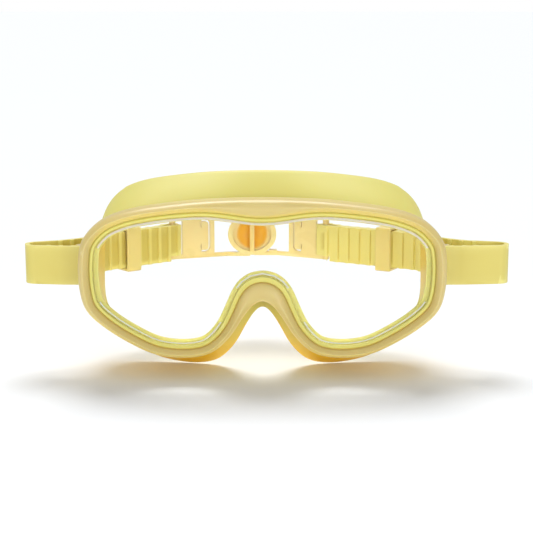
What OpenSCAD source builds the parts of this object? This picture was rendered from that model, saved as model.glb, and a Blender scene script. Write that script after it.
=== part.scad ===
// Swim mask: one-piece lens in a two-part rim, soft face skirt, swivelling strap lugs,
// two ribbed strap halves, sliding keepers and a two-part rear clip.
// Millimetres. +X to the wearer's left, +Y towards the face, +Z up.
// The origin is on the flat front of the lens, at its bridge between the two eye lobes.

/* [Rim outline] */
// Width of the rim across both sides
frame_w = 165; // [155:1:198]
// Height of the rim from the bottom of the eye lobes to the brow
frame_h = 72.5; // [61:0.5:87]
// Height of the lens bridge datum above the bottom of the rim
datum_h = 50; // [48:0.5:52]
// Height of the nose arch above the bottom of the rim
nose_h = 26.2; // [23:0.1:29]
// Half width of the nose arch where it meets the eye lobes
nose_half_w = 14.5; // [12.5:0.1:17]
// Distance from the centre to the lowest point of an eye lobe
lobe_x = 34.5; // [32:0.5:38]

/* [Rim section] */
// Width of the rim band along the top and bottom
rim_w = 4.3; // [3.8:0.1:5]
// Extra band width at the two sides
side_extra = 0.9; // [0.3:0.1:1.2]
// Extra band width of the brow bulge
brow_extra = 4.1; // [1:0.1:5]
// Extra band width over the nose
nose_extra = 4.9; // [2:0.1:5.5]
// How far the crest of the rim stands in front of the lens
crest_h = 2.6; // [1.5:0.1:4]
// Depth of the front rim behind the lens face
frame_d = 8.2; // [7.4:0.1:9]
// Thickness of the rear rim's flange
flange_t = 1.4; // [1:0.1:2]

/* [Lens] */
// Thickness of the lens
lens_t = 3.6; // [3:0.1:4]
// Thickness of the lens edge that the skirt grips
lens_edge_t = 1.8; // [1.4:0.1:2.2]
// Distance from the rim's inner edge to the raised part of the lens
lens_step = 2.4; // [2.3:0.1:3.4]

/* [Skirt] */
// Wall thickness of the skirt
skirt_t = 1.6; // [1.2:0.1:1.8]
// Width of the skirt's rear edge across the temples
skirt_w = 152; // [127:1:182]
// How far the skirt's rear edge stands beyond the rim, up and down
skirt_flare = 10.5; // [7:0.1:12]
// How much fuller the skirt is at its lower outer corners
jowl = 3.6; // [1:0.1:4.5]
// Depth of the skirt at the middle of the forehead
forehead_d = 29; // [26:0.5:35]
// Depth of the skirt at the temples
temple_d = 42; // [36:0.5:46]
// How much shallower the skirt is over the nose
nose_relief = 10; // [6:0.5:12]
// Width of the soft seal flange that lies on the face
seal_w = 8; // [6.5:0.5:9.5]

/* [Strap] */
// Width of the strap
strap_w = 17.8; // [14.8:0.1:21.4]
// Height of the strap's middle above the bottom of the rim
strap_h = 39.8; // [38:0.1:42]
// Thickness of the plain strap band
strap_t = 2; // [1.7:0.1:2.4]
// Height of a rib on the strap
rib_h = 0.9; // [0.5:0.1:1.1]
// Distance from rib to rib
rib_pitch = 5.8; // [4.8:0.1:7]
// How far the loop on the wearer's left reaches beyond the rim
left_loop_reach = 30.8; // [25.6:0.1:37]
// How far the loop on the wearer's right reaches beyond the rim
right_loop_reach = 26.8; // [24:0.1:32.2]
// Radius of the bend at the end of each side loop
loop_r = 4.9; // [4.2:0.1:5.5]

/* [Swivel lugs] */
// Depth of the swivel axis behind the lens face
lug_y = 20; // [19:0.1:22]
// Radius of the swivel stub
stub_r = 2.5; // [2:0.1:3]
// Radius of the strap pin
pin_r = 1.2; // [1:0.1:1.4]

/* [Keepers and clip] */
// Length of a keeper along the strap
keeper_l = 8; // [6:0.5:9]
// Wall thickness of a keeper
keeper_t = 1.5; // [1.2:0.1:2]
// Distance from the clip bar to the keeper on the wearer's left
keeper_left_at = 34; // [30:0.5:36]
// Distance from the clip bar to the keeper on the wearer's right
keeper_right_at = 27; // [24:0.5:28]
// Sideways place of the finger pad's middle
clip_x = -5.5; // [-8:0.1:-3]
// How far the clip sits above the middle of the strap
clip_rise = 2.3; // [1.8:0.1:2.6]
// Distance from the mask's middle to the strap bar on the wearer's left
left_bar_x = 31.6; // [28:0.1:36]
// Distance from the mask's middle to the strap bar on the wearer's right
right_bar_x = 45.4; // [42:0.1:49]
// Depth of the strap bars behind the lens face
bar_y = 79; // [75:0.5:84]
// Radius of a strap bar
bar_r = 1.6; // [1.3:0.1:1.8]
// Width of the oval finger pad
pad_w = 24.6; // [21:0.1:27]
// Height of the oval finger pad
pad_h = 21; // [20.6:0.1:25]
// Thickness of a clip rail
rail_t = 2; // [1.6:0.1:2.4]

/* [Hidden] */
$fn = 64;

// Clearances and small sizes
gap = 0.3;          // between pieces that move past each other
running = 0.05;     // radial clearance of a pin in its hole
rebate = 2.1;       // how far the rim's lip overlaps the skirt bead
bead_front = 0.6;   // depth of the lip's back face
bead_back = 5.0;    // depth of the skirt bead's back face
lip_w = 1.7;        // width of the skirt lip that shows inside the rim
nose_lip = 0.85;    // extra width of the lip over the nose
ledge_w = 4;        // reach of the skirt's ledge behind the lens, from the rim's inner edge
ledge_t = 1.1;      // thickness of that ledge
neck_in = 0.7;      // distance of the skirt's neck from the rim's inner edge
neck_y = 10;        // depth at which the skirt starts to flare
seal_t = 0.9;       // thickness of the seal flange
ear_in = 5.6;       // distance of the ear's inner face from the side of the rim
ear_t = 1.8;        // thickness of the ear
lug_t = 1.3;        // thickness of the lug's plate
eyelet_r = 3.0;     // outer radius of the strap's moulded eyelet
eyelet_h = 12.6;    // height of the eyelet between the lug's arms

half_w = frame_w / 2;
mid_z = frame_h / 2;

// ---- Outline ----

// Right half of the rim's outline from the brow's middle round to the nose arch's middle,
// heights counted from the bottom of the rim
half_outline = [
    [0, frame_h],
    [15, frame_h - 0.3],
    [31, frame_h - 1.2],
    [half_w - 30, frame_h - 3.8],
    [half_w - 17.5, frame_h - 6.8],
    [half_w - 9, frame_h - 11],
    [half_w - 2.6, frame_h - 17.8],
    [half_w - 0.3, 47],
    [half_w - 0.2, 34],
    [half_w - 3, 22.5],
    [half_w - 11, 14.4],
    [half_w - 22.5, 7],
    [lobe_x + 13.5, 1.5],
    [lobe_x, 0],
    [(lobe_x + nose_half_w) / 2 - 1.5, 2.3],
    [nose_half_w, 9.8],
    [nose_half_w * 0.6, nose_h - 7.5],
    [nose_half_w * 0.29, nose_h - 2],
    [0, nose_h],
];

steps = 3;

function flip(p) = [-p.x, p.y];
function curve(a, b, c, d, t) =
    0.5 * (2 * b + (c - a) * t + (2 * a - 5 * b + 4 * c - d) * t * t
           + (3 * b - a - 3 * c + d) * t * t * t);

// Smooth closed outline through the half outline and its mirror image
function smooth_half(pts, n) =
    let (last = len(pts) - 1,
         all = concat([flip(pts[1])], pts, [flip(pts[last - 1])]))
    concat([for (i = [0:last - 1], k = [0:n - 1])
                curve(all[i], all[i + 1], all[i + 2], all[i + 3], k / n)],
           [pts[last]]);
function both_halves(half) =
    concat(half, [for (i = [len(half) - 2:-1:1]) flip(half[i])]);

outline = both_halves(smooth_half(half_outline, steps));
count = len(outline);

function unit(v) = v / norm(v);
function inward_at(pts, i) =
    let (n = len(pts), t = unit(pts[(i + 1) % n] - pts[(i + n - 1) % n])) [t.y, -t.x];
inward = [for (i = [0:count - 1]) inward_at(outline, i)];

// Width of the rim band at a point of the outline
function band_at(p) =
    rim_w + side_extra * pow(abs(p.x) / half_w, 8)
    + (p.y > mid_z ? brow_extra * exp(-pow(p.x / 19, 2)) : 0)
    + (p.y < mid_z ? nose_extra * exp(-pow(p.x / 6.4, 2)) : 0);
band = [for (p = outline) band_at(p)];

// Outline moved inward: by a fixed amount from the rim's outside, or from its inner edge
function from_outside(d) = [for (i = [0:count - 1]) outline[i] + d * inward[i]];
function from_inside(d) = [for (i = [0:count - 1]) outline[i] + (band[i] + d) * inward[i]];

// Extra width of the lip and of the lens's step over the nose
nose_more = [for (p = outline) p.y < mid_z ? nose_lip * exp(-pow(p.x / 13, 2)) : 0];
function lens_front() =
    [for (i = [0:count - 1]) outline[i] + (band[i] + lens_step + nose_more[i]) * inward[i]];

// ---- Building helpers ----

function lifted(p, y) = [p.x, y, p.y - datum_h];

// Ring of sections swept round the outline and closed on itself
module swept_ring(sections) {
    n = len(sections);
    m = len(sections[0]);
    polyhedron(
        points = [for (s = sections) each s],
        faces = [for (i = [0:n - 1], k = [0:m - 1])
            let (j = (i + 1) % n, l = (k + 1) % m) [i * m + k, j * m + k, j * m + l, i * m + l]],
        convexity = 8);
}

// Flat plate of an outline from depth y0 to y1
module plate(pts, y0, y1) {
    translate([0, y1, -datum_h]) rotate([90, 0, 0]) linear_extrude(y1 - y0) polygon(pts);
}

module ring_plate(outer, inner, y0, y1) {
    translate([0, y1, -datum_h]) rotate([90, 0, 0]) linear_extrude(y1 - y0)
        difference() {
            polygon(outer);
            polygon(inner);
        }
}

module across(x0, x1) {
    translate([x0, 0, 0]) rotate([90, 0, 90]) linear_extrude(x1 - x0) children();
}

strap_z = strap_h - datum_h;

// ---- Rim ----

// Rounded front of the rim: pairs of distance from the outside and depth
function rim_section(w) = [
    [0, frame_d], [0, 1.6], [0.5, -0.5], [1.5, -crest_h + 0.7], [w * 0.5, -crest_h],
    [w - 1.3, -crest_h + 0.8], [w - 0.3, -crest_h + 2], [w, bead_front - 0.2], [w, bead_front],
    [w - rebate, bead_front], [w - rebate, frame_d]];

module front_frame() {
    color([0.86, 0.78, 0.51])
        swept_ring([for (i = [0:count - 1])
            [for (s = rim_section(band[i])) lifted(outline[i] + s[0] * inward[i], s[1])]]);
}

// Ear that carries the swivel: a flat tab behind the side of the rim, with a counterbored hole
module ear() {
    x_in = half_w - ear_in;
    difference() {
        across(x_in, x_in + ear_t) {
            translate([frame_d, strap_z - 5.5]) square([lug_y - frame_d, 11]);
            translate([lug_y, strap_z]) circle(r = 5.5);
        }
        across(x_in - 1, x_in + ear_t + 1)
            translate([lug_y, strap_z]) circle(r = stub_r + running);
        across(x_in - 1, x_in + 0.8)
            translate([lug_y, strap_z]) circle(r = stub_r + 0.9);
    }
}

module rear_frame() {
    color([0.84, 0.75, 0.48]) {
        ring_plate(from_inside(-rebate + 0.2), from_inside(neck_in - 0.2), bead_back, frame_d);
        difference() {
            ring_plate(from_outside(0.3), from_inside(neck_in - 0.2), frame_d, frame_d + flange_t);
            for (side = [0, 1]) mirror([side, 0, 0])
                across(half_w - ear_in, half_w - ear_in + ear_t)
                    translate([frame_d - 1, strap_z - 5.5]) square([flange_t + 2, 11]);
        }
        ear();
        mirror([1, 0, 0]) ear();
    }
}

module lens() {
    color([0.9, 0.9, 0.86, 0.4]) {
        plate(from_inside(-0.2), lens_t - lens_edge_t, lens_t);
        plate(lens_front(), 0, lens_t - lens_edge_t);
    }
}

// ---- Skirt ----

// Rear edge of the skirt: the outline, narrowed to the temples and flared up and down
function flared(p) =
    let (dz = p.y - mid_z, x = abs(p.x),
         wide = jowl * exp(-pow((p.y - 18) / 14, 2)) * pow(x / half_w, 3),
         deep = dz < 0 ? 0.6 * jowl * exp(-pow((x - 60) / 9, 2)) : 0)
    [p.x * skirt_w / frame_w + sign(p.x) * wide,
     p.y + skirt_flare * dz / sqrt(dz * dz + 200) - deep];
edge = [for (p = outline) flared(p)];
edge_inward = [for (i = [0:count - 1]) inward_at(edge, i)];
function edge_depth(p) =
    forehead_d + (temple_d - forehead_d) * pow(p.x / half_w, 2)
    - (p.y < mid_z ? nose_relief * exp(-pow(p.x / 16, 2)) : 0);
function seal_at(p) = seal_w * (1 - 0.8 * pow(abs(p.x) / half_w, 4));

function skirt_section(i) =
    let (w = band[i], n = inward[i], lip = w + lip_w + nose_more[i],
         ledge = w + ledge_w + nose_more[i], neck = outline[i] + (w + neck_in) * n,
         rim = edge[i], depth = edge_depth(outline[i]),
         out = -(rim - neck) * n, run = depth - neck_y, slope = unit([out, run]),
         sheet = skirt_t * slope.y, drop = skirt_t * slope.x,
         shoulder = skirt_t / slope.y + slope.x / slope.y,
         tip = rim + seal_at(outline[i]) * edge_inward[i],
         bow = [for (t = [0.3, 0.65]) [neck + (rim - neck) * (t + 0.5 * t * (1 - t)), neck_y + run * t]])
    concat(
        [for (s = [[w - rebate + 0.3, bead_front], [w - rebate + 0.3, bead_back],
                   [w + neck_in, bead_back], [w + neck_in, neck_y]])
            lifted(outline[i] + s[0] * n, s[1])],
        [for (b = bow) lifted(b[0], b[1])],
        [lifted(rim, depth - 1.2), lifted(rim + 0.6 * edge_inward[i], depth),
         lifted(tip, depth + 0.6), lifted(tip, depth + 0.6 - seal_t),
         lifted(rim + shoulder * edge_inward[i], depth - 1)],
        [for (k = [1, 0]) lifted(bow[k][0] + sheet * n, bow[k][1] + drop)],
        [for (s = [[w + neck_in + skirt_t, neck_y + 1.4],
                   [w + neck_in + skirt_t, lens_t + ledge_t + 0.8],
                   [ledge, lens_t + ledge_t], [ledge, lens_t],
                   [w - 0.3, lens_t], [w - 0.3, lens_t - lens_edge_t],
                   [lip, lens_t - lens_edge_t], [lip, -0.2], [lip - 0.7, -0.5],
                   [w + 0.4, -0.2], [w + 0.3, bead_front]])
            lifted(outline[i] + s[0] * n, s[1])]);

module skirt() {
    color([0.9, 0.87, 0.5]) swept_ring([for (i = [0:count - 1]) skirt_section(i)]);
}

// ---- Swivel lugs and strap pins ----

plate_x = half_w - ear_in + ear_t + 0.2;
post_x = plate_x + lug_t + 0.2 + eyelet_r;
arm_z = eyelet_h / 2 + 0.2;
arm_h = strap_w / 2 - arm_z;

module lug_arm() {
    translate([0, 0, -arm_h / 2]) linear_extrude(arm_h) {
        translate([plate_x, lug_y - 2.3]) square([post_x - plate_x, 4.6]);
        translate([post_x, lug_y]) circle(r = 2.3);
    }
}

module lug() {
    difference() {
        union() {
            across(plate_x, plate_x + lug_t) {
                translate([lug_y, strap_z]) circle(r = 5);
                translate([lug_y - 2.3, strap_z - strap_w / 2]) square([4.6, strap_w]);
            }
            for (s = [-1, 1]) translate([0, 0, strap_z + s * (arm_z + arm_h / 2)]) lug_arm();
            across(half_w - ear_in + 0.05, plate_x + lug_t / 2)
                translate([lug_y, strap_z]) circle(r = stub_r);
            across(half_w - ear_in + 0.05, half_w - ear_in + 0.7)
                translate([lug_y, strap_z]) circle(r = stub_r + 0.7);
        }
        translate([post_x, lug_y, strap_z - strap_w])
            cylinder(r = pin_r, h = 2 * strap_w);
    }
}

module strap_pin() {
    translate([post_x, lug_y, strap_z - strap_w / 2 + 0.1])
        cylinder(r = pin_r, h = strap_w - 0.2);
}

// ---- Straps ----

// Line of the band, seen from above, on the side where x is positive: out behind the rim,
// round the side loop, then straight to the clip bar, round it and back as the tail
function loop_x(side) =
    half_w + (side > 0 ? left_loop_reach : right_loop_reach) - loop_r - strap_t / 2;
loop_y = 23.2;
bend = [half_w - 8.5, 52];
band_y = lug_y - eyelet_r - 0.8;
wrap_r = bar_r + gap + strap_t / 2;

function bar_point(side) = [side > 0 ? left_bar_x : right_bar_x, bar_y];
function along(side) =
    let (b = bar_point(side), v = b - bend, far = norm(v), a = asin(wrap_r / far), u = unit(v))
    [u.x * cos(a) - u.y * sin(a), u.x * sin(a) + u.y * cos(a)];
function rear_normal(side) = let (u = along(side)) [u.y, -u.x];

function spline(pts, n) =
    let (last = len(pts) - 1,
         all = concat([2 * pts[0] - pts[1]], pts, [2 * pts[last] - pts[last - 1]]))
    concat([for (i = [0:last - 1], k = [0:n - 1])
                curve(all[i], all[i + 1], all[i + 2], all[i + 3], k / n)],
           [pts[last]]);

function front_run(side) =
    let (middle = [loop_x(side), loop_y], start = [half_w + 8, band_y + 0.4],
         leave = [half_w + 12.5, 31.5],
         on = middle + loop_r * [cos(-84), sin(-84)], off = middle + loop_r * [cos(74), sin(74)])
    spline(concat(
        [[plate_x + lug_t + 0.2, band_y]], [for (t = [0, 0.4, 0.75, 0.92]) start + t * (on - start)],
        [for (a = [-75:15:60]) middle + loop_r * [cos(a), sin(a)]],
        [for (t = [0, 0.15, 0.35, 0.65, 1]) off + t * (leave - off)],
        [[half_w + 3.5, 37.5], [half_w - 3.5, 45], bend]), 4);

// The straight run, seen from its tangent point on the bar: s back along it, off to the rear
function beside(side, s, off) =
    bar_point(side) - s * along(side) + (off - wrap_r) * rear_normal(side);

tail_off = strap_t + 0.4;    // distance of the tail's line from the main run's line
tail_past = 9;               // how far the tail runs past the middle of its keeper
closing = 11;                // length over which the tail closes on the main run
function keeper_at(side) = side > 0 ? keeper_left_at : keeper_right_at;
function tail_gap(s) =
    let (t = min(s / closing, 1)) 2 * wrap_r + (tail_off - 2 * wrap_r) * t * t * (3 - 2 * t);
function band_line(side) =
    let (b = bar_point(side), u = along(side), r = rear_normal(side), far = norm(b - bend),
         straight = sqrt(far * far - wrap_r * wrap_r), end = keeper_at(side) + tail_past)
    concat(front_run(side),
           [for (s = [5:5:straight - 2]) beside(side, straight - s, 0)],
           [for (t = [0:15:180]) b + wrap_r * (-r * cos(t) + u * sin(t))],
           [for (s = [2:2:end - 1]) beside(side, s, tail_gap(s))],
           [beside(side, end, tail_gap(end))]);

function running_length(pts, i = 0, sum = 0, out = []) =
    i == len(pts) ? out
    : let (now = i == 0 ? 0 : sum + norm(pts[i] - pts[i - 1]))
      running_length(pts, i + 1, now, concat(out, [now]));

clip_z = strap_z + clip_rise;
rail_z = strap_w / 2 + 0.2;                              // from the clip's middle to its rails
slot_w = wrap_r + strap_t / 2 + rib_h + gap - 0.05;      // from the bar's axis to the plate
waist_r = slot_w + 0.55;                                 // reach of the notch in the strap's edge
rib_w = 2.4;        // width of a rib at its foot
rib_edge = 0.45;    // run of a rib's sloping side
front_ribs = 3;     // ribs on the front run, close behind the rim

// Band seen from above: ribs on the inner side of the loop, smooth on the outer side
module band_outline(side) {
    line = band_line(side);
    lengths = running_length(line);
    total = lengths[len(lengths) - 1];
    xs = [for (i = [0:len(line) - 1]) [lengths[i], line[i].x]];
    ys = [for (i = [0:len(line) - 1]) [lengths[i], line[i].y]];
    function at(s) = [lookup(s, xs), lookup(s, ys)];
    function ahead(s) = unit(at(min(s + 0.4, total)) - at(max(s - 0.4, 0)));
    function offset_at(s, d) = let (u = ahead(s)) at(s) + d * [-u.y, u.x];
    loop_start = loop_x(side) - plate_x - lug_t;
    loop_end = loop_start + PI * loop_r + 8;
    rear_ribs = floor((total - loop_end - rib_w) / rib_pitch);
    starts = concat([for (k = [1:front_ribs]) k * rib_pitch - 1],
                    [for (k = [0:rear_ribs]) loop_end + k * rib_pitch]);
    low = strap_t / 2;
    function rib(s) = [[s, low], [s + rib_edge, low + rib_h],
                       [s + rib_w - rib_edge, low + rib_h], [s + rib_w, low]];
    inner = concat([[0, low]], [for (k = [0:front_ribs - 1]) each rib(starts[k])],
                   [for (s = [loop_start:1.2:loop_end - 1]) [s, low]],
                   [for (k = [front_ribs:len(starts) - 1]) each rib(starts[k])], [[total, low]]);
    polygon(concat([for (v = inner) offset_at(v[0], v[1])],
                   [for (i = [len(line) - 1:-1:0]) offset_at(lengths[i], -low)]));
}

module strap(side) {
    color([0.87, 0.82, 0.46]) mirror([side > 0 ? 0 : 1, 0, 0]) difference() {
        union() {
            translate([0, 0, strap_z - strap_w / 2]) linear_extrude(strap_w) band_outline(side);
            translate([post_x, lug_y, strap_z - eyelet_h / 2]) cylinder(r = eyelet_r, h = eyelet_h);
        }
        translate([post_x, lug_y, strap_z - strap_w])
            cylinder(r = pin_r + running, h = 2 * strap_w);
        translate([bar_point(side).x, bar_y, strap_z - strap_w])
            cylinder(r = waist_r, h = strap_w + clip_rise - rail_z + gap);
    }
}

// ---- Keepers ----

front_side = strap_t / 2 + rib_h + gap;
rear_side = tail_off + strap_t / 2 + rib_h + gap;

module keeper(side) {
    u = along(side);
    middle = beside(side, keeper_at(side), 0);
    color([0.87, 0.77, 0.48]) mirror([side > 0 ? 0 : 1, 0, 0])
        translate([middle.x, middle.y, strap_z]) rotate([0, 0, atan2(u.y, u.x) + 180])
            difference() {
                translate([-keeper_l / 2, -front_side - keeper_t, -strap_w / 2 - gap - keeper_t])
                    cube([keeper_l, front_side + rear_side + 2 * keeper_t,
                          strap_w + 2 * (gap + keeper_t)]);
                translate([-keeper_l, -front_side, -strap_w / 2 - gap])
                    cube([2 * keeper_l, front_side + rear_side, strap_w + 2 * gap]);
            }
}

// ---- Rear clip ----

pad_y = bar_y + 10;     // depth of the finger pad
layer = 1.2;            // each half's distance from the joint plane at the pad
joint = 0.5;            // depth of the joint plane behind pad_y
rail_half = 1;          // half the thickness of rails and bars, front to back
bar_w = 2.2;            // width of the inner bar between the slit and the window
tab_l = 4.6;            // length of the springy tab in the plate
tab_gap = 0.9;          // width of the slit round the tab
tab_r = 2.6;            // radius of the slit's outer corners
inner_at = 6.5;         // distance from the pad end of a rail to its inner bar
oval_h = max(pad_h, 2 * rail_z + 2.4);    // the pad always reaches into both rails

// Pad end of a rail, seen from above, at a distance behind the joint plane
function rail_end(side, lift) = [side * clip_x + pad_w / 2 + 0.9, pad_y + joint + lift];

// Piece of a straight rail from d0 to d1 along it, seen from above
module rail_piece(side, lift, d0, d1) {
    b = bar_point(side);
    v = rail_end(side, lift) - b;
    translate(b) rotate([0, 0, atan2(v.y, v.x)])
        translate([d0, -rail_half]) square([d1 - d0, 2 * rail_half]);
}

// Frame of one clip half: strap bar, plate, inner bar and the two rails to the pad
module clip_frame(side, lift) {
    b = bar_point(side);
    end = rail_end(side, lift);
    reach = norm(end - b);
    inner = reach - inner_at;
    translate([b.x, b.y, clip_z - rail_z - rail_t / 2])
        cylinder(r = bar_r, h = 2 * rail_z + rail_t);
    for (s = [-1, 1]) translate([0, 0, clip_z + s * (rail_z + rail_t / 2) - rail_t / 2])
        linear_extrude(rail_t) {
            translate(b) circle(r = bar_r);
            rail_piece(side, lift, 0, reach);
            translate(end) circle(r = rail_half);
            translate([side * clip_x + 1, end.y - rail_half])
                square([pad_w / 2 - 0.1, 2 * rail_half]);
        }
    difference() {
        translate([0, 0, clip_z - rail_z - rail_t / 2]) linear_extrude(2 * rail_z + rail_t)
            rail_piece(side, lift, slot_w, inner);
        translate([b.x, b.y, clip_z]) rotate([0, 0, atan2(end.y - b.y, end.x - b.x)])
            translate([inner - bar_w, 2 * rail_half, 0]) rotate([90, 0, 0])
                linear_extrude(4 * rail_half) tab_slit();
    }
}

// Slit round three sides of the plate's springy tab, which points along +X and ends at 0
module tab_slit() {
    difference() {
        rounded_tab(0);
        rounded_tab(tab_gap);
    }
}

module rounded_tab(inset) {
    half = rail_z - 0.9 - inset;
    r = tab_r - inset;
    translate([-tab_l, -half + r]) square([tab_l - inset, 2 * (half - r)]);
    translate([-tab_l, -half]) square([tab_l - inset - r, 2 * half]);
    for (s = [-1, 1]) translate([-inset - r, s * (half - r)]) circle(r = r);
}

module oval(w, h) {
    polygon([for (a = [0:7.5:352.5]) [w / 2 * cos(a), h / 2 * sin(a)]]);
}

module upright(x, y0, y1, z = clip_z) {
    translate([x, y1, z]) rotate([90, 0, 0]) linear_extrude(y1 - y0) children();
}

// Half with the oval ring and its upright rib, on the wearer's right
module right_clip() {
    y0 = pad_y + joint - layer - rail_half;
    color([0.87, 0.76, 0.52]) {
        mirror([1, 0, 0]) clip_frame(-1, -layer);
        upright(clip_x, y0, y0 + 2 * rail_half) {
            difference() {
                oval(pad_w, oval_h);
                oval(pad_w - 5, oval_h - 4);
            }
            translate([-1.1, -oval_h / 2 + 1]) square([2.2, oval_h - 2]);
        }
    }
}

// Half with the domed rear pad and the catch, on the wearer's left
module left_clip() {
    y0 = pad_y + joint + layer - rail_half;
    dome_r = 14;
    dome_y = y0 + 2 * rail_half - 11.5;
    color([0.86, 0.7, 0.42]) difference() {
        union() {
            clip_frame(1, layer);
            upright(clip_x, y0, y0 + 2 * rail_half) oval(pad_w, oval_h);
            intersection() {
                translate([clip_x, dome_y, clip_z]) sphere(r = dome_r);
                upright(clip_x, y0 + rail_half, y0 + 10) square(pad_w, center = true);
            }
            translate([clip_x + 0.35 * pad_w, pad_y - 1.2, clip_z - rail_z - 0.3])
                cube([4, 3.6, 1.3]);
        }
        translate([clip_x, dome_y, clip_z]) sphere(r = dome_r - 1.6);
    }
}

module left_lug() { color([0.84, 0.75, 0.48]) lug(); }
module right_lug() { color([0.84, 0.75, 0.48]) mirror([1, 0, 0]) lug(); }
module left_strap_pin() { color([0.8, 0.72, 0.45]) strap_pin(); }
module right_strap_pin() { color([0.8, 0.72, 0.45]) mirror([1, 0, 0]) strap_pin(); }
module left_strap() { strap(1); }
module right_strap() { strap(-1); }
module left_keeper() { keeper(1); }
module right_keeper() { keeper(-1); }

front_frame();
rear_frame();
lens();
skirt();
left_lug();
right_lug();
left_strap_pin();
right_strap_pin();
left_strap();
right_strap();
left_keeper();
right_keeper();
left_clip();
right_clip();
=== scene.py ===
"""Looks of a child's swim mask: soft face skirt, satin rim, clear lens, ribbed strap and clip.

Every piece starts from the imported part's own solid, so it sits where the part says. The pieces
are cleaned, rounded and detailed here, dressed in node materials and set in a small white studio.
"""

from __future__ import annotations

import logging
import math
from dataclasses import dataclass, field
from enum import Enum
from typing import Callable, Iterable

import bpy
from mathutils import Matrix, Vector

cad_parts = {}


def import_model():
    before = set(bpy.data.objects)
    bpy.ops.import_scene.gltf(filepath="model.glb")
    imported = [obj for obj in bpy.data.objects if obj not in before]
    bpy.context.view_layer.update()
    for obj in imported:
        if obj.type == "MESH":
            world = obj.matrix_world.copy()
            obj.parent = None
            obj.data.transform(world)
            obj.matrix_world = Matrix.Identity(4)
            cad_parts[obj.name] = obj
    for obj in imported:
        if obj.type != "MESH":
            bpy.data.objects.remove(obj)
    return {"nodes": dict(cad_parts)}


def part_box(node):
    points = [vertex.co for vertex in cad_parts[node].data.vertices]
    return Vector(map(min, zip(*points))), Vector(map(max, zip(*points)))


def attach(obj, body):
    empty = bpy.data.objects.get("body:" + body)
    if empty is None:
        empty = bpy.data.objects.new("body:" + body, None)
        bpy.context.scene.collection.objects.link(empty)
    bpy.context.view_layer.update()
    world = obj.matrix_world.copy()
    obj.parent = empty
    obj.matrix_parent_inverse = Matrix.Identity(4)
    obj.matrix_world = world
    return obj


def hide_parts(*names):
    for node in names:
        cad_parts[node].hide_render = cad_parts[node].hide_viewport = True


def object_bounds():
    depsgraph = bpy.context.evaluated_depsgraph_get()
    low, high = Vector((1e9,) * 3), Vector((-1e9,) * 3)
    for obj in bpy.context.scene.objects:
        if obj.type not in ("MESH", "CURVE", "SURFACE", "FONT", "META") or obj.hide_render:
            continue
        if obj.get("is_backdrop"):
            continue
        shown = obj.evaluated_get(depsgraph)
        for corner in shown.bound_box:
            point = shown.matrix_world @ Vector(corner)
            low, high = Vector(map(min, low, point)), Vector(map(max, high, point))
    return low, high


LOG = logging.getLogger("swim_mask")
MM = 0.001
MERGE_WITHIN = 0.002 * MM
QUAD_LIMIT = math.radians(60)
FLAT_LIMIT = math.radians(0.6)
LARGE_FACE_WEIGHT = 80
PLASTIC_IOR = 1.45
SCATTER_BY_COLOUR = (1.0, 0.75, 0.3)
COAT_ROUGHNESS = 0.25
GRAIN_STRENGTH = 0.35
TIP_BAND = 0.3 * MM
WHITE = (1.0, 1.0, 1.0, 1.0)

Colour = tuple[float, float, float]


class Side(Enum):
    """A side of the mask, as its wearer names it."""

    LEFT = "left"
    RIGHT = "right"


class Cleaning(Enum):
    """How the triangles of a solid are gathered into larger faces."""

    QUADS = "quads"
    FLATS = "flats"


def linear(red: int, green: int, blue: int) -> Colour:
    """Turns a colour of 0 to 255 levels into scene values.

    Args:
        red: Level of red.
        green: Level of green.
        blue: Level of blue.

    Returns:
        The same colour as linear values from 0 to 1.
    """
    out = []
    for level in (red, green, blue):
        share = level / 255
        out.append(share / 12.92 if share <= 0.04045 else ((share + 0.055) / 1.055) ** 2.4)
    return out[0], out[1], out[2]


def rgba(colour: Colour) -> tuple[float, float, float, float]:
    """Adds full cover to a colour."""
    return colour[0], colour[1], colour[2], 1.0


def new_material(name: str) -> tuple[bpy.types.Material, bpy.types.NodeTree, bpy.types.Node]:
    """Makes a material with its plain shader.

    Args:
        name: Name of the material.

    Returns:
        The material, its node tree and its Principled shader.
    """
    made = bpy.data.materials.new(name)
    made.use_nodes = True
    return made, made.node_tree, made.node_tree.nodes["Principled BSDF"]


def colour_mix(
    tree: bpy.types.NodeTree, first: Colour | None, second: Colour
) -> bpy.types.Node:
    """Adds a node that mixes two colours.

    Args:
        tree: The material's node tree.
        first: Colour at factor 0, or None where another node gives it.
        second: Colour at factor 1.

    Returns:
        The mix node.
    """
    mix = tree.nodes.new("ShaderNodeMix")
    mix.data_type = "RGBA"
    if first is not None:
        mix.inputs["A"].default_value = rgba(first)
    mix.inputs["B"].default_value = rgba(second)
    return mix


def spread_to(tree: bpy.types.NodeTree, low: float, high: float) -> bpy.types.Node:
    """Adds a node that stretches a mask from 0 to 1 between two values.

    Args:
        tree: The material's node tree.
        low: Value at mask 0.
        high: Value at mask 1.

    Returns:
        The range node.
    """
    stretch = tree.nodes.new("ShaderNodeMapRange")
    stretch.inputs["To Min"].default_value = low
    stretch.inputs["To Max"].default_value = high
    return stretch


# ---- Hand tools ----


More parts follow.
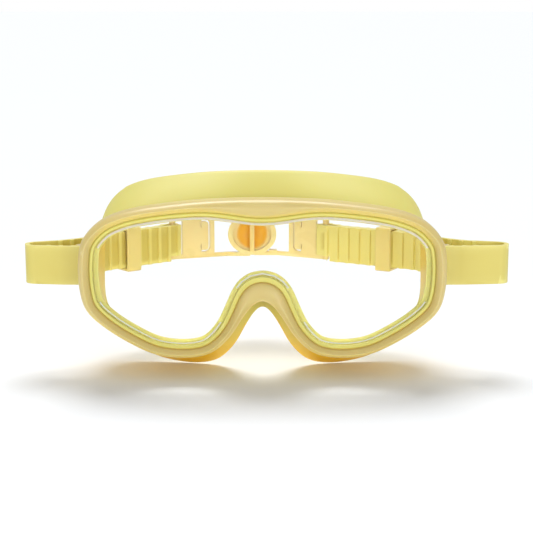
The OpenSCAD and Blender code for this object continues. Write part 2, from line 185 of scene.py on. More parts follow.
class Bench:
    """The few tools by which every piece is copied, cleaned, rounded and finished."""

    @staticmethod
    def hold(piece: bpy.types.Object) -> None:
        """Leaves only this piece selected and active.

        Args:
            piece: The piece to work on.
        """
        bpy.ops.object.select_all(action="DESELECT")
        piece.select_set(True)
        bpy.context.view_layer.objects.active = piece

    @staticmethod
    def copy_of(source: bpy.types.Object, name: str) -> bpy.types.Object:
        """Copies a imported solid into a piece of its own.

        Args:
            source: The solid, which stays as it is.
            name: Name of the new piece.

        Returns:
            The new piece, with its own mesh, riding on nothing yet.
        """
        Bench.hold(source)
        bpy.ops.object.duplicate()
        piece = bpy.context.active_object
        piece.parent = None
        piece.name = piece.data.name = name
        for key in list(piece.keys()):
            del piece[key]
        return piece

    @staticmethod
    def clean(piece: bpy.types.Object, way: Cleaning) -> None:
        """Merges the loose triangles and gathers them into larger faces.

        Args:
            piece: The piece to clean.
            way: Quads for swept shapes, flats for plates.
        """
        Bench.hold(piece)
        bpy.ops.object.mode_set(mode="EDIT")
        bpy.ops.mesh.select_all(action="SELECT")
        bpy.ops.mesh.customdata_custom_splitnormals_clear()
        bpy.ops.mesh.remove_doubles(threshold=MERGE_WITHIN)
        if way is Cleaning.QUADS:
            bpy.ops.mesh.tris_convert_to_quads(
                face_threshold=QUAD_LIMIT, shape_threshold=QUAD_LIMIT
            )
        else:
            bpy.ops.mesh.dissolve_limited(angle_limit=FLAT_LIMIT)
        bpy.ops.object.mode_set(mode="OBJECT")

    @staticmethod
    def crease(piece: bpy.types.Object, angle: float, amount: float) -> None:
        """Keeps the corners of a piece tight when it is subdivided.

        Args:
            piece: The piece whose edges are creased.
            angle: Degrees between faces above which an edge is a corner.
            amount: How tight the corner stays, up to 1.
        """
        Bench.hold(piece)
        bpy.ops.object.mode_set(mode="EDIT")
        bpy.ops.mesh.select_all(action="DESELECT")
        bpy.ops.mesh.select_mode(type="EDGE")
        bpy.ops.mesh.edges_select_sharp(sharpness=math.radians(angle))
        bpy.ops.transform.edge_crease(value=amount)
        bpy.ops.object.mode_set(mode="OBJECT")

    @staticmethod
    def subdivide(piece: bpy.types.Object, levels: int) -> None:
        """Smooths a piece by subdivision.

        Args:
            piece: The piece to smooth.
            levels: How many times its faces are split.
        """
        Bench.hold(piece)
        smooth = piece.modifiers.new("smooth_form", "SUBSURF")
        smooth.levels = smooth.render_levels = levels
        bpy.ops.object.modifier_apply(modifier=smooth.name)

    @staticmethod
    def round_edges(piece: bpy.types.Object, width: float, segments: int, angle: float) -> None:
        """Rounds the edges of a piece.

        Args:
            piece: The piece to round.
            width: Width of the rounding in millimetres.
            segments: Faces across the rounding.
            angle: Degrees between faces above which an edge is rounded.
        """
        Bench.hold(piece)
        soften = piece.modifiers.new("rounded_edges", "BEVEL")
        soften.width = width * MM
        soften.segments = segments
        soften.limit_method = "ANGLE"
        soften.angle_limit = math.radians(angle)
        soften.miter_outer = "MITER_ARC"
        bpy.ops.object.modifier_apply(modifier=soften.name)

    @staticmethod
    def slice_level(piece: bpy.types.Object, cuts: int) -> None:
        """Cuts a standing band level at even heights, so that its faces are short.

        Args:
            piece: The band.
            cuts: How many cuts.
        """
        heights = [v.co.z for v in piece.data.vertices]
        low, high = min(heights), max(heights)
        Bench.hold(piece)
        bpy.ops.object.mode_set(mode="EDIT")
        for cut in range(1, cuts + 1):
            level = low + (high - low) * cut / (cuts + 1)
            bpy.ops.mesh.select_all(action="SELECT")
            bpy.ops.mesh.bisect(plane_co=(0.0, 0.0, level), plane_no=(0.0, 0.0, 1.0))
        bpy.ops.object.mode_set(mode="OBJECT")

    @staticmethod
    def even_normals(piece: bpy.types.Object) -> None:
        """Keeps large faces flat-looking beside their rounded edges.

        Args:
            piece: The piece, already shaded smooth.
        """
        Bench.hold(piece)
        weigh = piece.modifiers.new("even_normals", "WEIGHTED_NORMAL")
        weigh.keep_sharp = True
        weigh.weight = LARGE_FACE_WEIGHT
        bpy.ops.object.modifier_apply(modifier=weigh.name)

    @staticmethod
    def shade(piece: bpy.types.Object, angle: float) -> None:
        """Shades a piece smooth, except across its sharp edges.

        Args:
            piece: The piece to shade.
            angle: Degrees between faces above which an edge stays sharp.
        """
        Bench.hold(piece)
        bpy.ops.object.shade_smooth_by_angle(angle=math.radians(angle), keep_sharp_edges=False)

    @staticmethod
    def dress(piece: bpy.types.Object, *finishes: bpy.types.Material) -> None:
        """Gives a piece its materials in place of the solid's own.

        Args:
            piece: The piece to dress.
            finishes: Its materials, the main one first.
        """
        piece.data.materials.clear()
        for finish in finishes:
            piece.data.materials.append(finish)

    @staticmethod
    def file_away(piece: bpy.types.Object, body: str, node: str, slot: str) -> None:
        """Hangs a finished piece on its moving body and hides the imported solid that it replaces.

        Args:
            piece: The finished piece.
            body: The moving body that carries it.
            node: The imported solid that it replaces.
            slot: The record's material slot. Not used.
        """
        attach(piece, body)
        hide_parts(node)
        LOG.info("%s: %d faces, rides on %s", piece.name, len(piece.data.polygons), body)


# ---- Shared surface effects ----


@dataclass
class Effects:
    """Node groups that several materials share, each built once."""

    groups: dict[str, bpy.types.NodeTree] = field(default_factory=dict)

    @staticmethod
    def _open(name: str, inputs: dict[str, float], output: str, kind: str) -> bpy.types.NodeTree:
        """Makes an empty group with named sockets.

        Args:
            name: Name of the group.
            inputs: Number sockets and their first values.
            output: Name of the one output.
            kind: Socket type of the output.

        Returns:
            The group, with its input and output nodes in place.
        """
        tree = bpy.data.node_groups.new(name, "ShaderNodeTree")
        for label, value in inputs.items():
            socket = tree.interface.new_socket(
                name=label, in_out="INPUT", socket_type="NodeSocketFloat"
            )
            socket.default_value = value
        tree.interface.new_socket(name=output, in_out="OUTPUT", socket_type=kind)
        tree.nodes.new("NodeGroupInput").name = "in"
        tree.nodes.new("NodeGroupOutput").name = "out"
        tree.nodes.new("ShaderNodeTexCoord").name = "place"
        return tree

    def grain(self) -> bpy.types.NodeTree:
        """Fine eroded grain of a moulded surface, as a height.

        Returns:
            The group, with Scale, Fineness and a Height from 0 to 1.
        """
        if "grain" not in self.groups:
            tree = self._open(
                "moulded_grain", {"Scale": 900.0, "Fineness": 3.0}, "Height", "NodeSocketFloat"
            )
            speckle = tree.nodes.new("ShaderNodeTexNoise")
            pits = tree.nodes.new("ShaderNodeTexVoronoi")
            blend = tree.nodes.new("ShaderNodeMath")
            blend.operation = "MULTIPLY_ADD"
            blend.inputs[1].default_value = 0.45
            link = tree.links.new
            link(tree.nodes["place"].outputs["Object"], speckle.inputs["Vector"])
            link(tree.nodes["place"].outputs["Object"], pits.inputs["Vector"])
            link(tree.nodes["in"].outputs["Scale"], speckle.inputs["Scale"])
            link(tree.nodes["in"].outputs["Scale"], pits.inputs["Scale"])
            link(tree.nodes["in"].outputs["Fineness"], speckle.inputs["Detail"])
            link(pits.outputs["Distance"], blend.inputs[0])
            link(speckle.outputs["Fac"], blend.inputs[2])
            link(blend.outputs[0], tree.nodes["out"].inputs["Height"])
            self.groups["grain"] = tree
        return self.groups["grain"]

    def drift(self) -> bpy.types.NodeTree:
        """Slow uneven tone of a tinted plastic, as a mask.

        Returns:
            The group, with Scale, Contrast and a Mask from 0 to 1.
        """
        if "drift" not in self.groups:
            tree = self._open(
                "tone_drift", {"Scale": 28.0, "Contrast": 1.6}, "Mask", "NodeSocketFloat"
            )
            cloud = tree.nodes.new("ShaderNodeTexNoise")
            cloud.inputs["Detail"].default_value = 4.0
            cloud.inputs["Roughness"].default_value = 0.55
            centre = tree.nodes.new("ShaderNodeMath")
            centre.operation = "SUBTRACT"
            centre.inputs[1].default_value = 0.5
            spread = tree.nodes.new("ShaderNodeMath")
            spread.operation = "MULTIPLY_ADD"
            spread.use_clamp = True
            spread.inputs[2].default_value = 0.5
            link = tree.links.new
            link(tree.nodes["place"].outputs["Object"], cloud.inputs["Vector"])
            link(tree.nodes["in"].outputs["Scale"], cloud.inputs["Scale"])
            link(cloud.outputs["Fac"], centre.inputs[0])
            link(centre.outputs[0], spread.inputs[0])
            link(tree.nodes["in"].outputs["Contrast"], spread.inputs[1])
            link(spread.outputs[0], tree.nodes["out"].inputs["Mask"])
            self.groups["drift"] = tree
        return self.groups["drift"]

    def edges(self) -> bpy.types.NodeTree:
        """Painted highlight on convex edges, leaving hollows as painted shade, as a mask of how
        convex the surface is.

        Returns:
            The group, with Low, High and a Mask from 0 in hollows to 1 on edges.
        """
        if "edges" not in self.groups:
            tree = self._open("painted_edge_highlight", {"Low": 0.46, "High": 0.56}, "Mask", "NodeSocketFloat")
            form = tree.nodes.new("ShaderNodeNewGeometry")
            ramp = tree.nodes.new("ShaderNodeMapRange")
            link = tree.links.new
            link(form.outputs["Pointiness"], ramp.inputs["Value"])
            link(tree.nodes["in"].outputs["Low"], ramp.inputs["From Min"])
            link(tree.nodes["in"].outputs["High"], ramp.inputs["From Max"])
            link(ramp.outputs["Result"], tree.nodes["out"].inputs["Mask"])
            self.groups["edges"] = tree
        return self.groups["edges"]

    def painted_underside_glow(self) -> bpy.types.NodeTree:
        """Faces turned down, as a mask for a painted glow that stands in for light coming through
        the wall; upright fronts and backs stay clear.

        Returns:
            The group, with Share and a Mask from 0 to that share.
        """
        if "painted_underside_glow" not in self.groups:
            tree = self._open("painted_glow_down_faces", {"Share": 0.5}, "Mask", "NodeSocketFloat")
            parts = tree.nodes.new("ShaderNodeSeparateXYZ")
            upright = tree.nodes.new("ShaderNodeMath")
            upright.operation = "ABSOLUTE"
            along = tree.nodes.new("ShaderNodeMath")
            along.operation = "MULTIPLY_ADD"
            along.inputs[1].default_value = 0.8
            ramp = tree.nodes.new("ShaderNodeMapRange")
            ramp.interpolation_type = "SMOOTHSTEP"
            ramp.inputs["From Min"].default_value = 0.35
            ramp.inputs["From Max"].default_value = -0.4
            link = tree.links.new
            link(tree.nodes["place"].outputs["Normal"], parts.inputs[0])
            link(parts.outputs["Y"], upright.inputs[0])
            link(upright.outputs["Value"], along.inputs[0])
            link(parts.outputs["Z"], along.inputs[2])
            link(along.outputs["Value"], ramp.inputs["Value"])
            link(tree.nodes["in"].outputs["Share"], ramp.inputs["To Max"])
            link(ramp.outputs["Result"], tree.nodes["out"].inputs["Mask"])
            self.groups["painted_underside_glow"] = tree
        return self.groups["painted_underside_glow"]

    @staticmethod
    def place(
        tree: bpy.types.NodeTree, group: bpy.types.NodeTree, values: dict[str, float]
    ) -> bpy.types.Node:
        """Puts a shared group into a material.

        Args:
            tree: The material's node tree.
            group: The shared group.
            values: This material's own values.

        Returns:
            The group's node in the material.
        """
        node = tree.nodes.new("ShaderNodeGroup")
        node.node_tree = group
        for label, value in values.items():
            node.inputs[label].default_value = value
        return node


# ---- Finishes ----


@dataclass(frozen=True)
class TintedPlastic:
    """A coloured moulded plastic or rubber, soft or satin.

    Attributes:
        base: Colour of the plain surface.
        deep: Colour of its denser patches.
        edge: Colour of a painted highlight on convex edges, standing in for light caught by and
            passing through thin edges.
        roughness: Roughness of the plain surface.
        patchiness: How much the roughness varies.
        scatter: Share of light that scatters inside.
        reach: How far it scatters, in millimetres.
        grain_scale: How fine the moulded grain is.
        grain_height: Height of the grain in millimetres.
        tone_scale: How fine the tone patches are.
        coat: Share of a thin gloss over the surface.
        painted_glow: Painted glow, a warmer colour on faces turned down that stands in for light
            coming through the wall.
        painted_glow_share: How strong that painted glow is.
        painted_hollow_glow: Colour of a painted glow and shade in a hollow, where the builder
            gives one.
        painted_hollow_glow_core: Share of the hollow's radius that has the full painted glow
            colour.
    """

    base: Colour
    deep: Colour
    edge: Colour
    roughness: float = 0.45
    patchiness: float = 0.08
    scatter: float = 0.25
    reach: float = 2.0
    grain_scale: float = 1500.0
    grain_height: float = 0.02
    tone_scale: float = 40.0
    coat: float = 0.0
    painted_glow: Colour = (0.7, 0.45, 0.06)
    painted_glow_share: float = 0.0
    painted_hollow_glow: Colour = (0.8, 0.45, 0.1)
    painted_hollow_glow_core: float = 0.75

    def material(
        self, name: str, effects: Effects, hollow: tuple[Vector, float] | None = None
    ) -> bpy.types.Material:
        """Builds the material.

        Args:
            name: Name of the material.
            effects: The shared groups.
            hollow: Middle and radius of a hollow that takes the painted glow colour.

        Returns:
            The new material.
        """
        made, tree, skin = new_material(name)
        link = tree.links.new
        tone = effects.place(tree, effects.drift(), {"Scale": self.tone_scale, "Contrast": 1.8})
        # Painted highlight: convex edges take the lighter edge colour, so hollows read as painted
        # shade.
        rims = effects.place(tree, effects.edges(), {})
        fine = effects.place(tree, effects.grain(), {"Scale": self.grain_scale, "Fineness": 3.0})
        # Painted glow: faces turned down take a warmer colour in place of light that comes through
        # the wall.
        painted_underside_glow = effects.place(tree, effects.painted_underside_glow(), {"Share": self.painted_glow_share})
        body = colour_mix(tree, self.base, self.deep)
        thin = colour_mix(tree, None, self.edge)
        with_painted_glow = colour_mix(tree, None, self.painted_glow)
        gloss = spread_to(
            tree, self.roughness - self.patchiness, self.roughness + self.patchiness
        )
        relief = tree.nodes.new("ShaderNodeBump")
        relief.inputs["Strength"].default_value = GRAIN_STRENGTH
        relief.inputs["Distance"].default_value = self.grain_height * MM
        link(tone.outputs["Mask"], body.inputs["Factor"])
        link(body.outputs["Result"], thin.inputs["A"])
        link(rims.outputs["Mask"], thin.inputs["Factor"])
        link(thin.outputs["Result"], with_painted_glow.inputs["A"])
        link(painted_underside_glow.outputs["Mask"], with_painted_glow.inputs["Factor"])
        link(with_painted_glow.outputs["Result"], skin.inputs["Base Color"])
        if hollow is not None:
            self.paint_hollow_glow(tree, with_painted_glow, hollow)
        link(tone.outputs["Mask"], gloss.inputs["Value"])
        link(gloss.outputs["Result"], skin.inputs["Roughness"])
        link(fine.outputs["Height"], relief.inputs["Height"])
        link(relief.outputs["Normal"], skin.inputs["Normal"])
        skin.inputs["Subsurface Weight"].default_value = self.scatter
        skin.inputs["Subsurface Radius"].default_value = SCATTER_BY_COLOUR
        skin.inputs["Subsurface Scale"].default_value = self.reach * MM
        skin.inputs["IOR"].default_value = PLASTIC_IOR
        skin.inputs["Coat Weight"].default_value = self.coat
        skin.inputs["Coat Roughness"].default_value = COAT_ROUGHNESS
        return made

    def paint_hollow_glow(
        self, tree: bpy.types.NodeTree, before: bpy.types.Node, hollow: tuple[Vector, float]
    ) -> None:
        """Paints a glow and shade into a hollow with a deeper, warmer colour.

        Args:
            tree: The material's node tree.
            before: The colour mix that the painted glow covers.
            hollow: Middle and radius of the hollow.
        """
        place = tree.nodes.new("ShaderNodeTexCoord")
        away = tree.nodes.new("ShaderNodeVectorMath")
        away.operation = "DISTANCE"
        away.inputs[1].default_value = hollow[0]
        fall = tree.nodes.new("ShaderNodeMapRange")
        fall.interpolation_type = "SMOOTHSTEP"
        fall.inputs["From Min"].default_value = hollow[1]
        fall.inputs["From Max"].default_value = hollow[1] * self.painted_hollow_glow_core
        # Painted glow and shade: the hollow's middle takes a deeper orange colour.
        with_hollow_glow = colour_mix(tree, None, self.painted_hollow_glow)
        link = tree.links.new
        link(place.outputs["Object"], away.inputs[0])
        link(away.outputs["Value"], fall.inputs["Value"])
        link(fall.outputs["Result"], with_hollow_glow.inputs["Factor"])
        link(before.outputs["Result"], with_hollow_glow.inputs["A"])
        link(with_hollow_glow.outputs["Result"], tree.nodes["Principled BSDF"].inputs["Base Color"])


@dataclass(frozen=True)
class ClearPane:
    """Clear lens plastic with a faint tint.

    Attributes:
        tint: Colour of the clear body.
        roughness: Roughness of the polished faces.
        haze: Height of the faint moulding waves in millimetres.
        bending: How strongly it bends light.
    """

    tint: Colour = (0.985, 0.99, 0.985)
    roughness: float = 0.015
    haze: float = 0.004
    bending: float = 1.2

    def material(self, name: str, effects: Effects) -> bpy.types.Material:
        """Builds the material.

        Args:
            name: Name of the material.
            effects: The shared groups.

        Returns:
            The new material.
        """
        made, tree, skin = new_material(name)
        link = tree.links.new
        smear = effects.place(tree, effects.drift(), {"Scale": 22.0, "Contrast": 2.4})
        gloss = spread_to(tree, self.roughness * 0.4, self.roughness * 1.6)
        waves = tree.nodes.new("ShaderNodeBump")
        waves.inputs["Strength"].default_value = 0.1
        waves.inputs["Distance"].default_value = self.haze * MM
        link(smear.outputs["Mask"], gloss.inputs["Value"])
        link(gloss.outputs["Result"], skin.inputs["Roughness"])
        link(smear.outputs["Mask"], waves.inputs["Height"])
        link(waves.outputs["Normal"], skin.inputs["Normal"])
        skin.inputs["Base Color"].default_value = rgba(self.tint)
        skin.inputs["Transmission Weight"].default_value = 1.0
        skin.inputs["IOR"].default_value = self.bending
        open_way = tree.nodes.new("ShaderNodeBsdfTransparent")
        open_way.inputs["Color"].default_value = rgba(self.tint)
        rays = tree.nodes.new("ShaderNodeLightPath")
        either = tree.nodes.new("ShaderNodeMixShader")
        link(rays.outputs["Is Shadow Ray"], either.inputs[0])
        link(skin.outputs["BSDF"], either.inputs[1])
        link(open_way.outputs["BSDF"], either.inputs[2])
        link(either.outputs["Shader"], tree.nodes["Material Output"].inputs["Surface"])
        return made


@dataclass(frozen=True)
class DrawnSteel:
    """Drawn steel pin with fine lengthwise lines.

    Attributes:
        bright: Colour of the metal.
        dull: Colour between the drawn lines.
        roughness: Middle roughness.
        line_scale: How fine the drawn lines are.
        line_stretch: How far the pattern is squeezed along the pin, so that it runs in lines.
    """

    bright: Colour = (0.74, 0.73, 0.7)
    dull: Colour = (0.5, 0.49, 0.47)
    roughness: float = 0.28
    line_scale: float = 6000.0
    line_stretch: float = 0.02

    def material(self, name: str, effects: Effects) -> bpy.types.Material:
        """Builds the material.

        Args:
            name: Name of the material.
            effects: The shared groups.

        Returns:
            The new material.
        """
        made, tree, skin = new_material(name)
        link = tree.links.new
        place = tree.nodes.new("ShaderNodeTexCoord")
        stretch = tree.nodes.new("ShaderNodeMapping")
        stretch.inputs["Scale"].default_value = (1.0, 1.0, self.line_stretch)
        lines = tree.nodes.new("ShaderNodeTexNoise")
        lines.inputs["Scale"].default_value = self.line_scale
        metal = colour_mix(tree, self.dull, self.bright)
        wear = effects.place(tree, effects.drift(), {"Scale": 300.0, "Contrast": 1.5})
        gloss = spread_to(tree, self.roughness - 0.08, self.roughness + 0.12)
        link(place.outputs["Object"], stretch.inputs["Vector"])
        link(stretch.outputs["Vector"], lines.inputs["Vector"])
        link(lines.outputs["Fac"], metal.inputs["Factor"])
        link(metal.outputs["Result"], skin.inputs["Base Color"])
        link(wear.outputs["Mask"], gloss.inputs["Value"])
        link(gloss.outputs["Result"], skin.inputs["Roughness"])
        skin.inputs["Metallic"].default_value = 1.0
        return made


# Each finish's edge colour is a painted highlight on convex edges.
# The clip's hollow colour is a painted glow and shade inside the finger pad's dome.
# The finishes' glow colours are a painted glow on faces turned down, standing in for light through
# the wall.
RIM_SATIN = TintedPlastic(
    base=linear(213, 190, 114),
    deep=linear(208, 180, 98),
    edge=linear(226, 209, 144),
    roughness=0.36,
    scatter=0.3,
    reach=2.2,
    grain_scale=1100.0,
    grain_height=0.012,
    tone_scale=26.0,
    painted_glow=linear(252, 226, 128),
    painted_glow_share=0.75,
)
SKIRT_SOFT = TintedPlastic(
    base=linear(221, 213, 113),
    deep=linear(216, 204, 94),
    edge=linear(229, 223, 132),
    roughness=0.5,
    scatter=0.3,
    reach=2.4,
    grain_scale=1700.0,
    grain_height=0.014,
    tone_scale=18.0,
    painted_glow=linear(250, 198, 18),
    painted_glow_share=0.92,
)
STRAP_RUBBER = TintedPlastic(
    base=linear(215, 199, 96),
    deep=linear(206, 184, 72),
    edge=linear(238, 228, 138),
    roughness=0.44,
    scatter=0.15,
    reach=1.2,
    grain_scale=1900.0,
    grain_height=0.012,
    tone_scale=34.0,
    painted_glow=linear(206, 176, 50),
    painted_glow_share=0.5,
)
KEEPER_SATIN = TintedPlastic(
    base=linear(230, 209, 116),
    deep=linear(226, 200, 98),
    edge=linear(240, 224, 148),
    roughness=0.4,
    scatter=0.3,
    reach=1.8,
    tone_scale=60.0,
    painted_glow=linear(220, 168, 52),
    painted_glow_share=0.6,
)
CLIP_GLOSS = TintedPlastic(
    base=linear(234, 211, 138),
    deep=linear(234, 198, 108),
    edge=linear(242, 224, 160),
    roughness=0.3,
    scatter=0.35,
    reach=2.6,
    grain_scale=1300.0,
    grain_height=0.006,
    tone_scale=45.0,
    coat=0.2,
    painted_glow=linear(238, 178, 62),
    painted_glow_share=0.6,
    painted_hollow_glow=linear(244, 190, 52),
)
LENS_CLEAR = ClearPane()
# Whitish painted reflection for the lens's front bevel.
LENS_PAINTED_HIGHLIGHT = TintedPlastic(
    base=linear(224, 226, 220),
    deep=linear(206, 208, 200),
    edge=linear(238, 240, 236),
    roughness=0.3,
    scatter=0.4,
    reach=1.0,
    grain_scale=2500.0,
    grain_height=0.008,
    tone_scale=70.0,
)
PIN_STEEL = DrawnSteel()


# ---- Sub-assemblies ----


@dataclass
class RimSet:
    """Front rim and rear rim, snapped together round the skirt's bead.

    Attributes:
        nodes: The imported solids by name.
        effects: The shared groups.
        corner_angle: Degrees above which an edge of the front rim is a corner.
        corner_crease: How tight those corners stay.
        smoothing: How many times the front rim's faces are split.
        front_shading: Degrees up to which the front rim is shaded smooth.
        rear_rounding: Width of the rear rim's rounded edges in millimetres.
        rear_corner: Degrees above which an edge of the rear rim is rounded and sharp.
    """

    nodes: dict[str, bpy.types.Object]
    effects: Effects
    corner_angle: float = 38.0
    corner_crease: float = 0.82
    smoothing: int = 2
    front_shading: float = 50.0
    rear_rounding: float = 0.25
    rear_corner: float = 40.0

    def build(self) -> list[bpy.types.Object]:
        """Makes both rims.

        Returns:
            The finished pieces.
        """
        return [self.front(), self.rear()]

    def front(self) -> bpy.types.Object:
        """Makes the rounded front rim.

        Returns:
            The finished rim.
        """
        rim = Bench.copy_of(self.nodes["front_frame"], "rim")
        Bench.clean(rim, Cleaning.QUADS)
        Bench.crease(rim, self.corner_angle, self.corner_crease)
        Bench.subdivide(rim, self.smoothing)
        Bench.shade(rim, self.front_shading)
        Bench.dress(rim, RIM_SATIN.material("rim_satin", self.effects))
        Bench.file_away(rim, "mask", "front_frame", "rim")
        return rim

    def rear(self) -> bpy.types.Object:
        """Makes the rear rim with its two swivel ears.

        Returns:
            The finished rim.
        """
        rim = Bench.copy_of(self.nodes["rear_frame"], "rear_rim")
        Bench.clean(rim, Cleaning.QUADS)
        Bench.round_edges(rim, self.rear_rounding, 2, self.rear_corner)
        Bench.shade(rim, self.rear_corner)
        Bench.dress(rim, RIM_SATIN.material("rear_rim_satin", self.effects))
        Bench.file_away(rim, "mask", "rear_frame", "rear_rim")
        return rim


@dataclass
class LensPane:
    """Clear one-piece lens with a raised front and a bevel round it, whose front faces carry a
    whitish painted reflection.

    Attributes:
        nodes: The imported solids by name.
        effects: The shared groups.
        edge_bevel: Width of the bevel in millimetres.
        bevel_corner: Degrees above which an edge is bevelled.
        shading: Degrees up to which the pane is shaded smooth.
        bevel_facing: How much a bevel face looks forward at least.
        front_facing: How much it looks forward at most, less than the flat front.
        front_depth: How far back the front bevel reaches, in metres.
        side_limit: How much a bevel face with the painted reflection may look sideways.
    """

    nodes: dict[str, bpy.types.Object]
    effects: Effects
    edge_bevel: float = 0.85
    bevel_corner: float = 50.0
    shading: float = 30.0
    bevel_facing: float = 0.3
    front_facing: float = 0.95
    front_depth: float = 1.0 * MM
    side_limit: float = 0.62

    def build(self) -> list[bpy.types.Object]:
        """Makes the lens.

        Returns:
            The finished piece in a list.
        """
        pane = Bench.copy_of(self.nodes["lens"], "lens_pane")
        Bench.clean(pane, Cleaning.FLATS)
        Bench.round_edges(pane, self.edge_bevel, 1, self.bevel_corner)
        Bench.shade(pane, self.shading)
        clear = LENS_CLEAR.material("lens_clear", self.effects)
        # The front bevel faces take a whitish material, a painted reflection of the bright room.
        ground = LENS_PAINTED_HIGHLIGHT.material("lens_painted_bevel_highlight", self.effects)
        Bench.dress(pane, clear, ground)
        for face in pane.data.polygons:
            if self.is_painted_highlight_face(face):
                face.material_index = 1
        Bench.file_away(pane, "mask", "lens", "lens")
        return [pane]

    def is_painted_highlight_face(self, face: bpy.types.MeshPolygon) -> bool:
        """Tells whether a face is part of the front bevel above, below or over the nose, which
        carries the painted reflection.

        Args:
            face: A face of the pane.

        Returns:
            True for a face with the painted reflection.
        """
        slanted = self.bevel_facing < -face.normal.y < self.front_facing
        in_front = face.center.y < self.front_depth
        return slanted and in_front and abs(face.normal.x) < self.side_limit


@dataclass
class FaceSkirt:
    """Soft skirt with its lip round the lens and its seal on the face.

    Attributes:
        nodes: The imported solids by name.
        effects: The shared groups.
        corner_angle: Degrees above which an edge is a corner.
        corner_crease: How tight those corners stay.
        smoothing: How many times the faces are split.
        shading: Degrees up to which the skirt is shaded smooth.
    """

    nodes: dict[str, bpy.types.Object]
    effects: Effects
    corner_angle: float = 42.0
    corner_crease: float = 0.7
    smoothing: int = 2
    shading: float = 60.0

    def build(self) -> list[bpy.types.Object]:
        """Makes the skirt.

        Returns:
            The finished piece in a list.
        """
        skirt = Bench.copy_of(self.nodes["skirt"], "face_skirt")
        Bench.clean(skirt, Cleaning.QUADS)
        Bench.crease(skirt, self.corner_angle, self.corner_crease)
        Bench.subdivide(skirt, self.smoothing)
        Bench.shade(skirt, self.shading)
        Bench.dress(skirt, SKIRT_SOFT.material("skirt_soft", self.effects))
        Bench.file_away(skirt, "mask", "skirt", "skirt")
        return [skirt]


@dataclass
class StrapHalf:
    """One side of the strap: lug, pin, ribbed band and keeper.

    Attributes:
        nodes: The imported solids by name.
        effects: The shared groups.
        side: The side of the mask.
        lug_rounding: Width of the lug's rounded edges in millimetres.
        pin_rounding: Width of the pin's rounded ends in millimetres.
        band_rounding: Width of the band's rounded edges in millimetres.
        keeper_rounding: Width of the keeper's rounded edges in millimetres.
        corner: Degrees above which an edge of a moulded piece is rounded.
        pin_corner: Degrees above which an edge of the pin is rounded.
        rib_corner: Degrees above which an edge of the band is rounded.
        shading: Degrees up to which a piece is shaded smooth.
        rib_shading: Degrees up to which the band is shaded smooth.
        band_cuts: Level cuts across the band.
    """

    nodes: dict[str, bpy.types.Object]
    effects: Effects
    side: Side
    lug_rounding: float = 0.2
    pin_rounding: float = 0.25
    band_rounding: float = 0.28
    keeper_rounding: float = 0.7
    corner: float = 40.0
    pin_corner: float = 50.0
    rib_corner: float = 30.0
    shading: float = 40.0
    rib_shading: float = 42.0
    band_cuts: int = 7

    def build(self) -> list[bpy.types.Object]:
        """Makes the pieces of this side.

        Returns:
            The finished pieces.
        """
        return [self.lug(), self.pin(), self.band(), self.keeper()]

    def start(self, node: str, name: str) -> bpy.types.Object:
        """Copies and cleans one solid of this side.

        Args:
            node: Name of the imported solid.
            name: Name of the piece, without its side.

        Returns:
            The cleaned piece.
        """
        piece = Bench.copy_of(self.nodes[node], f"{self.side.value}_{name}")
        Bench.clean(piece, Cleaning.FLATS)
        return piece

    def lug(self) -> bpy.types.Object:
        """Makes the swivel lug.

        Returns:
            The finished lug.
        """
        node = f"{self.side.value}_lug"
        lug = self.start(node, "swivel_lug")
        Bench.round_edges(lug, self.lug_rounding, 2, self.corner)
        Bench.shade(lug, self.shading)
        Bench.dress(lug, RIM_SATIN.material(f"{node}_satin", self.effects))
        Bench.file_away(lug, "strap_loop", node, "lug")
        return lug

    def pin(self) -> bpy.types.Object:
        """Makes the steel strap pin.

        Returns:
            The finished pin.
        """
        node = f"{self.side.value}_strap_pin"
        pin = self.start(node, "steel_pin")
        Bench.round_edges(pin, self.pin_rounding, 2, self.pin_corner)
        Bench.shade(pin, self.shading)
        Bench.dress(pin, PIN_STEEL.material(f"{node}_steel", self.effects))
        Bench.file_away(pin, "strap_loop", node, "strap_pin")
        return pin

    def band(self) -> bpy.types.Object:
        """Makes the ribbed band.

        Returns:
            The finished band.
        """
        node = f"{self.side.value}_strap"
        band = self.start(node, "band")
        Bench.round_edges(band, self.band_rounding, 2, self.rib_corner)
        Bench.slice_level(band, self.band_cuts)
        Bench.shade(band, self.rib_shading)
        Bench.even_normals(band)
        Bench.dress(band, STRAP_RUBBER.material(f"{node}_rubber", self.effects))
        Bench.file_away(band, "strap_loop", node, "strap")
        return band

    def keeper(self) -> bpy.types.Object:
        """Makes the sliding keeper.

        Returns:
            The finished keeper.
        """
        node = f"{self.side.value}_keeper"
        keeper = self.start(node, "loop_keeper")
        Bench.round_edges(keeper, self.keeper_rounding, 3, self.corner)
        Bench.shade(keeper, self.shading)
        Bench.even_normals(keeper)
        Bench.dress(keeper, KEEPER_SATIN.material(f"{node}_satin", self.effects))
        Bench.file_away(keeper, node, node, "keeper")
        return keeper


